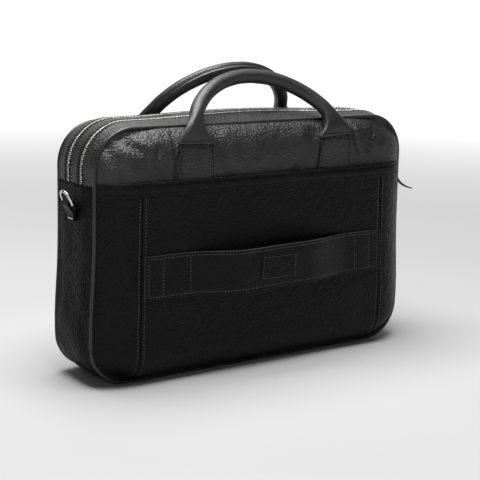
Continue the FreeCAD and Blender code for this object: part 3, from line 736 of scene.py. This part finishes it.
def arch_line(height, side, hinge_y):
    """Middle line of a handle: up one flare, over the arch that leans inward, down the other."""
    half = HINGE_X - FLARE_DRAW
    radius = (half ** 2 + height ** 2) / (2 * height)
    sweep = math.asin(half / radius)
    points = []
    for i in range(81):
        turn = mix(-sweep, sweep, i / 80)
        x, rise = radius * math.sin(turn), height - radius * (1 - math.cos(turn))
        points.append(Vector((x, hinge_y - side * (FLARE_IN + rise * math.sin(ARCH_LEAN)),
                              HINGE_Z + FLARE_RISE + rise * math.cos(ARCH_LEAN))))
    foot = []
    for i in range(12):
        t = i / 12
        bow = t ** 1.9
        foot.append(Vector((-HINGE_X + FLARE_DRAW * bow, hinge_y - side * FLARE_IN * bow,
                            HINGE_Z + FLARE_RISE * t)))
    return foot + points + [Vector((-p.x, p.y, p.z)) for p in reversed(foot)]


def smooth_line(points, rounds=3):
    for _ in range(rounds):
        points = [points[0]] + [(a + b * 2 + c) / 4 for a, b,
                                c in zip(points, points[1:], points[2:])] + [points[-1]]
    return points


def make_handles():
    for name, side, height, hinge_y in (("back", -1, 44.8, -56.9), ("front", 1, 53.9, 51.2)):
        line = smooth_line(arch_line(height, side, hinge_y))
        gone = [0.0]
        for a, b in zip(line, line[1:]):
            gone.append(gone[-1] + (b - a).length)
        total = gone[-1]

        def at(run):
            index = 1
            while index < len(gone) - 1 and gone[index] < run:
                index += 1
            a, b = line[index - 1], line[index]
            t = (run - gone[index - 1]) / (gone[index] - gone[index - 1])
            return a.lerp(b, t), (b - a).normalized()

        def place(run, turn):
            kept = min(max(run, 0.0), total)
            spot, way = at(kept)
            spot = spot + Vector((0, 0, min(0.0, run) + min(0.0, total - run)))
            near = max(0.0, 1 - min(kept, total - kept) / 34.0)
            outward = Vector((0, side, 0)) - way * (way.y * side)
            outward.normalize()
            across = outward.cross(way)
            wide = 7.9 + 14.9 * near ** 1.75
            thick = mix(7.9, 1.7, near ** 0.9)
            square = mix(2.0, 2.8, near)
            c, s = math.cos(turn), math.sin(turn)
            ex = math.copysign(abs(c) ** (2 / square), c)
            ey = math.copysign(abs(s) ** (2 / square), s)
            under = math.atan2(math.sin(turn + 2.2), math.cos(turn + 2.2))
            seam = 1.1 * hump(under / 0.12) * ease((1 - near) * 3)
            pleat = 0.55 * near * (1 - near) * 4 * math.cos(5 * turn + 1.2) * (0.4 + 0.6 * abs(c))
            swell = 0.22 * noise.noise(Vector((kept / 11, 2 * c, 2 * s + side)))
            return spot + across * (wide * ex * (1 - seam / 8)) \
                + outward * ((thick + pleat) * ey * (1 - seam / 8)) \
                + (across * c + outward * s) * swell

        grip = skin(name + "_handle_hide", crowded(-1.5, total + 1.5, 3.2, 1.4, 30.0),
                    [math.tau * i / 48 for i in range(49)], place, weld=True, warp=None)
        grip.data.materials.append(ROLLED)
        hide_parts(name + "_handle_wrap", name + "_handle_core")
        fold_to(grip, name + "_flap", name + "_handle", 252.8, 262.0)
        seam = [[place(run, -2.2 + off) for run in steps(38, total - 38, 3)] for off in (-0.34, 0.34)]
        sew(name + "_handle_seam_stitches", seam, name + "_handle", slot="handle_leather")
        feet = [[Vector((x_mid + x, hinge_y + side * 1.9, 255.6)) for x in steps(-19.5, 19.5, 3)]
                for x_mid in (-HINGE_X, HINGE_X)]
        sew(name + "_flare_stitches", feet, name + "_flap", pitch=3.3, width=1.3, slot="handle_leather")


# ---------------------------------------------------------------- trolley strap
def strap_y(x, z):
    near = ease((112 - abs(x)) / 70)
    flat = pocket_depth(x, z) + 1.6
    return -mix(flat, 79.2 + 0.8 * noise.noise(Vector((x / 40, z / 30, 3))), near)


def make_strap():
    low, high = STRAP_LOW, STRAP_HIGH

    def place(x, z):
        lip = 0.45 * (hump((z - low - 3.2) / 0.8) + hump((high - 3.2 - z) / 0.8))
        ends = 0.5 * (hump((abs(x) - 154) / 0.9) + hump((x + 136) / 0.9) + hump((x - 142) / 0.9))
        return (x, strap_y(x, z) + lip + ends - 1.5, z + 0.8 * math.sin(x / 31) * ease((112 - abs(x)) / 60))
    strap = skin("trolley_strap_hide", crowded(-158, 158, 3.2, 0.8, 5.0), crowded(low, high, 2.4, 0.6, 5.0),
                 place)
    cut_edge_highlight(dress(round_off(ply(strap, 3.0)), SHADED_STRAP_HIDE, "black_leather", "case", "trolley_strap"), EDGE)
    rows = [[Vector(place(x, z)) + Vector((0, -0.25, 0)) for x in steps(-153, 153, 3)]
            for z in (low + 3.2, high - 3.2)]
    for x in (-154, -136, -104, 120, 142, 154):
        rows.append([Vector(place(x, z)) + Vector((0, -0.25, 0)) for z in steps(low + 4, high - 4, 3)])
    sew("trolley_strap_stitches", rows, "case", thread=PALE_THREAD, width=0.9)

    def badge(x, z):
        corner = max(0.0, abs(x) - 21) + max(0.0, abs(z - 116.6) - 11)
        return (x, strap_y(x, z) - 1.5 - 0.9 + 0.25 * ease(corner / 3), z)
    patch = skin("strap_patch_hide", crowded(-24, 24, 2.0, 0.6, 3.0), crowded(102.6, 130.6, 2.0, 0.6, 3.0),
                 badge)
    dress(round_off(ply(patch, 1.0)), HIDE, "black_leather", "case", "strap_patch")
    ring = [(-21.5, 105), (21.5, 105), (21.5, 128.2), (-21.5, 128.2), (-21.5, 105)]
    row = []
    for (x0, z0), (x1, z1) in zip(ring, ring[1:]):
        row += [Vector(badge(mix(x0, x1, t), mix(z0, z1, t))) + Vector((0, -0.2, 0))
                for t in steps(0, 1, 0.1)]
    sew("strap_patch_stitches", [row], "case", pitch=2.8, length=1.9, width=0.8, thread=PALE_THREAD)


# ---------------------------------------------------------------- front panel and its pocket
def make_front():
    columns = crowded(-1, 1, 0.022, 0.006, 0.06)
    columns = sorted(set(columns + [-146 / 205, 146 / 205]))
    rows = sheet_heights(1.5, 216.4)
    rows = sorted(set(rows + [201.7, 213.7]))
    panel = skin("front_panel_hide", columns, rows,
                 lambda t, z: (t * side_width(z), front_depth(t * side_width(z), z), z))
    bm = bmesh.new()
    bm.from_mesh(panel.data)
    window = []
    for face in bm.faces:
        spot = face.calc_center_median() / MM
        if abs(spot.x) < 145.9 and 201.7 < spot.z < 213.7:
            window.append(face)
    bmesh.ops.delete(bm, geom=window, context="FACES")
    bm.to_mesh(panel.data)
    bm.free()
    dress(ply(panel, 1.8), LIT_HIDE, "black_leather", "case", "front_pocket_panel", "front_pocket_sides")
    border = [(-149, 199.4), (149, 199.4), (149, 215.2), (-149, 215.2), (-149, 199.4)]
    sew("front_window_stitches", [face_row(front_depth, border, 1, 0.1)], "case")
    for name, sign in (("lower", -1), ("upper", 1)):
        tape = skin("front_zip_" + name + "_weave", steps(-150, 150, 4),
                    [sign * v for v in steps(1.8, 8.4, 1.4)],
                    lambda x, v: (x, front_depth(x, FRONT_ZIP_Z) - 2.1, FRONT_ZIP_Z + v))
        dress(ply(tape, 0.6), TAPE, "zip_tape", "case", *(("front_pocket_tapes",) if sign > 0 else ()))
        frames = []
        for i in range(65):
            x = -145 + TOOTH_PITCH * i + (TOOTH_PITCH / 2 if sign > 0 else 0.0)
            spot = slump(Vector((x, front_depth(x, FRONT_ZIP_Z) - 1.4, FRONT_ZIP_Z + sign * 0.4)))
            frames.append((spot, Vector((1, 0, 0)), Vector((0, 0, -1)), Vector((0, 1, 0))))
        teeth("front_zip_" + name + "_row", frames, "case", ("front_pocket_teeth",) if sign > 0 else (),
              TOOTH)

    def yoke_at(t, z):
        x = t * side_width(z)
        return (x, front_yoke_depth(x, max(z, 217.0)), z)
    yoke = skin("front_yoke_hide", crowded(-1, 1, 0.018, 0.006, 0.06), sheet_heights(214, 270.6), yoke_at)
    dress(ply(yoke, 1.8), LIT_HIDE, "black_leather", ("case", "front_flap"), "front_yoke")


# ---------------------------------------------------------------- loops, pullers
def ribbon(name, line, across, width, thickness, material, slot, body, *nodes):
    """Flat strip of leather along a line of points, its width lying along across."""
    places = [Vector(p) for p in line]

    def place(i, v):
        return places[int(i)] + Vector(across) * v
    strip = skin(name, list(range(len(places))), crowded(-width / 2, width / 2, 2.0, 0.5, 2.0), place,
                 warp=None)
    return dress(round_off(ply(strip, thickness, 0.0)), material, slot, body, *nodes)


def make_loops():
    for name, sign in (("left", -1), ("right", 1)):
        bar = Vector((sign * 213.5, 0, 191))
        line = [(sign * 208.4, 0, z) for z in steps(173.5, 188, 3)]
        for i in range(13):
            turn = math.radians(200 - 230 * i / 12)
            line.append((bar.x + sign * 3.4 * math.cos(turn), 0, bar.z + 3.4 * math.sin(turn)))
        line += [(sign * x, 0, z) for x,
                 z in ((214.4, 186.5), (211.6, 183.5), (210.6, 180), (210.4, 176), (210.3, 173.5))]
        ribbon("d_ring_loop_" + name, line, (0, 1, 0), 13.8, 2.2, HIDE, "black_leather", "case",
               *(("d_ring_loops",) if sign < 0 else ()))


def puller_line(turn):
    """Middle of a puller's leather, down from the link's far bar: neck, grip, then a tail that curls out."""
    line = [Vector((0, 0, z)) for z in (-10.2, -11.5, -13.0, -15, -18, -21, -24, -27, -30, -33, -34.4)]
    angle = math.radians(turn)
    for i in range(1, 15):
        bend = math.radians(62) * i / 14
        out = 0.7 + 26 * (1 - math.cos(bend))
        line.append(Vector((out * math.cos(angle), out * math.sin(angle), -34.4 - 26 * math.sin(bend))))
    return line


def make_pullers():
    for name, side in (("back", -1), ("front", 1), ("pocket", 0)):
        if side:
            origin, facing = Vector((209.6, side * 14.0, 223.5)), Matrix.Rotation(math.radians(-25), 3, "Y")
        else:
            origin, facing = Vector((134.0, 53.1, FRONT_ZIP_Z)), Matrix.Rotation(CORNER, 3, "Z")
        line = puller_line(36 * side)
        plies = ((-0.75, line[:11], 1.5, "grip_inner"), (0.75, line[1:12], 1.5, "grip_outer"),
                 (0.75, line[10:], 1.6, "tail"))
        for lift, points, thick, part in plies:
            def place(i, v, points=points, lift=lift, last=len(points) - 1):
                p = points[int(i)]
                ahead, behind = points[min(int(i) + 1, last)], points[max(int(i) - 1, 0)]
                way = (ahead - behind).normalized()
                out = Vector((0, 1, 0)).cross(way) * -1
                neck = 0.55 if p.z > -12 else 1.0
                nub = 1.2 if part == "grip_outer" and int(i) == last else 0.0
                return origin + facing @ (p + Vector((0, v * neck, 0)) + out * (lift + nub))
            strip = skin(name + "_puller_" + part, list(range(len(points))),
                         crowded(-2.6, 2.6, 1.2, 0.4, 1.2), place,
                         warp=None)
            dress(round_off(ply(strip, thick, 0.0)), ROLLED, "handle_leather", name + "_pull",
                  *((name + "_zip_puller",) if part == "tail" else ()))
        edge = [[origin + facing @ Vector((1.6, v, z)) for z in steps(-14.5, -32.5, 2)] for v in (-1.7, 1.7)]
        sew(name + "_puller_stitches", edge, name + "_pull", pitch=2.4, length=1.6, width=0.5,
            slot="handle_leather")


make_gusset()
make_piping()
make_top_zips()
make_back_panels()
make_tabs()
make_handles()
make_strap()
make_front()
make_loops()
make_pullers()
make_inside()

BY_SLOT = {"nickel": NICKEL, "zip_metal": ZIP_METAL, "zip_tape": TAPE, "lining_cloth": LINING,
           "padding": PADDING,
           "board": BOARD, "cord_core": COTTON, "black_leather": HIDE, "handle_leather": ROLLED,
           "piping_leather": SKIVED}
for part in NODES.values():
    finish = BY_SLOT[part.data.materials[0].name.split(".")[0]]
    for index in range(len(part.data.materials)):
        part.data.materials[index] = finish


# ---------------------------------------------------------------- studio
def make_floor():
    bm = bmesh.new()
    bmesh.ops.create_circle(bm, cap_ends=True, segments=96, radius=9.0)
    floor = finish_mesh(bm, "studio_floor")
    paper, tree, shader = blank("Pale paper", roughness=0.9, Specular_IOR_Level=0.1)
    place = node(tree, "ShaderNodeTexCoord").outputs["Object"]
    fleck = node(tree, "ShaderNodeTexNoise", Vector=place, Scale=3.0, Detail=2.0).outputs["Fac"]
    far = node(tree, "ShaderNodeVectorMath", {"operation": "LENGTH"}, _0=place).outputs["Value"]
    tree.links.new(colour_mix(tree, fleck, (0.44, 0.44, 0.44, 1), (0.48, 0.48, 0.48, 1)),
                   shader.inputs["Base Color"])
    shader.inputs["Emission Color"].default_value = (1, 1, 1, 1)
    tree.links.new(ranged(tree, far, 0.35, 2.6, 0.0, 0.95), shader.inputs["Emission Strength"])
    floor.data.materials.append(paper)


def lamp(name, place, aim, size, power):
    data = bpy.data.lights.new(name, "AREA")
    data.shape = "RECTANGLE"
    data.size, data.size_y = size
    data.energy = power
    obj = bpy.data.objects.new(name, data)
    bpy.context.scene.collection.objects.link(obj)
    obj.location = place
    obj.rotation_mode = "QUATERNION"
    obj.rotation_quaternion = (Vector(place) - Vector(aim)).to_track_quat("Z", "Y")


def make_studio():
    """Soft light from above and behind, a tall strip beside the bag, and a bright wall behind it."""
    world = bpy.data.worlds.new("Studio")
    bpy.context.scene.world = world
    world.use_nodes = True
    tree = world.node_tree
    way = node(tree, "ShaderNodeTexCoord").outputs["Generated"]
    towards = node(tree, "ShaderNodeVectorMath", {"operation": "DOT_PRODUCT"}, _0=way, _1=(0.57, 0.82, 0.0))
    wall = ranged(tree, towards.outputs["Value"], 0.5, 0.92, 0.07, 1.15)
    back = tree.nodes["Background"]
    back.inputs["Color"].default_value = (1.0, 1.0, 1.0, 1)
    tree.links.new(wall, back.inputs["Strength"])
    lamp("overhead softbox", (-0.1, -0.02, 1.2), (0, 0, 0.2), (1.1, 0.75), 30)
    lamp("left strip", (-0.95, -1.25, 0.5), (-0.2, 0, 0.15), (0.12, 0.9), 2.6)
    bpy.context.scene.view_settings.view_transform = "Standard"


VIEW_AZIMUTH, VIEW_ELEVATION, VIEW_ROLL = -35.34, 11.30, 1.21     # degrees
VIEW_TARGET, VIEW_DISTANCE, VIEW_LENS = (4.1, 0, 131.3), 1.390, 91.4


def make_camera():
    azimuth, elevation, roll = (math.radians(a) for a in (VIEW_AZIMUTH, VIEW_ELEVATION, VIEW_ROLL))
    target, distance = Vector(VIEW_TARGET) * MM, VIEW_DISTANCE
    back = Vector((math.sin(azimuth) * math.cos(elevation), -math.cos(azimuth) * math.cos(elevation),
                   math.sin(elevation)))
    right = Vector((math.cos(azimuth), math.sin(azimuth), 0))
    up = back.cross(right)
    rolled = right * math.cos(roll) + up * math.sin(roll)
    upright = up * math.cos(roll) - right * math.sin(roll)
    data = bpy.data.cameras.new("Camera")
    data.lens, data.sensor_width = VIEW_LENS, 36.0
    data.clip_start, data.clip_end = 0.05, 50.0
    camera = bpy.data.objects.new("Camera", data)
    bpy.context.scene.collection.objects.link(camera)
    camera.matrix_world = Matrix.Translation(target + back * distance) @ Matrix(
        (rolled, upright, back)).transposed().to_4x4()
    bpy.context.scene.camera = camera


make_floor()
make_studio()
make_camera()
